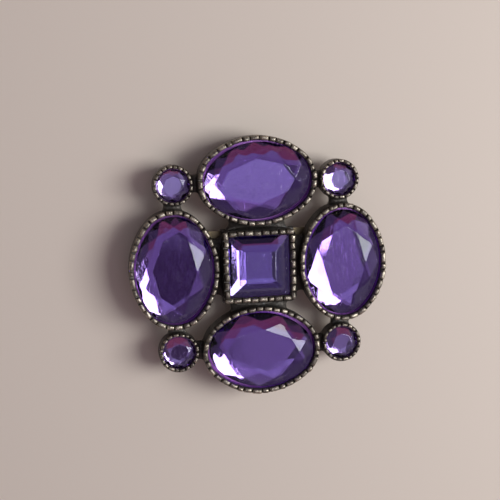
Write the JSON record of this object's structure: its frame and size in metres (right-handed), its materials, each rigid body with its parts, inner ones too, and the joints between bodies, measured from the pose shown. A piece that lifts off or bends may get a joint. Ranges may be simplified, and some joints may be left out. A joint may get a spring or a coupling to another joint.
{
  "type": "brooch",
  "caption": "Cluster brooch: oval, square and round faceted foil-backed stones in milled-edge cups on one cast frame, with a bar pin and turning safety catch behind.",
  "frame": {"origin": "middle of the frame casting's flat back, behind the square stone", "axes": "+Z out of the stones towards the viewer, +Y up when worn, +X to the viewer's right"},
  "size_m": [0.043, 0.043, 0.0075],
  "materials": {
    "antique_brass": "antique brass plate on a casting, dark in the recesses and worn pale on the bars",
    "purple_stone": "clear purple moulded stone with polished facets",
    "foil": "mirror foil on the stone's flat back",
    "adhesive": "set clear adhesive, slightly yellow",
    "pin_steel": "nickel-plated steel wire"
  },
  "bodies": {
    "brooch": {"frame_casting": "antique_brass", "bar_strip": "antique_brass", "hinge_rivet": "pin_steel", "catch_housing": "antique_brass", "stone_top": "purple_stone", "foil_top": "foil", "adhesive_top": "adhesive", "stone_bottom": "purple_stone", "foil_bottom": "foil", "adhesive_bottom": "adhesive", "stone_left": "purple_stone", "foil_left": "foil", "adhesive_left": "adhesive", "stone_right": "purple_stone", "foil_right": "foil", "adhesive_right": "adhesive", "stone_centre": "purple_stone", "foil_centre": "foil", "adhesive_centre": "adhesive", "stone_upper_left": "purple_stone", "foil_upper_left": "foil", "adhesive_upper_left": "adhesive", "stone_upper_right": "purple_stone", "foil_upper_right": "foil", "adhesive_upper_right": "adhesive", "stone_lower_left": "purple_stone", "foil_lower_left": "foil", "adhesive_lower_left": "adhesive", "stone_lower_right": "purple_stone", "foil_lower_right": "foil", "adhesive_lower_right": "adhesive"},
    "pin": {"pin_stem": "pin_steel"},
    "rotor": {"catch_rotor": "antique_brass"}
  },
  "joints": [
    {"name": "pin_hinge", "type": "hinge", "parent": "brooch", "child": "pin", "pos_m": [-0.0134, 0.0035, -0.002], "axis": [0, 1, 0], "range_deg": [0, 90]},
    {"name": "catch_turn", "type": "hinge", "parent": "brooch", "child": "rotor", "pos_m": [0.0131, 0.0035, -0.002], "axis": [1, 0, 0], "range_deg": [0, 90]}
  ]
}
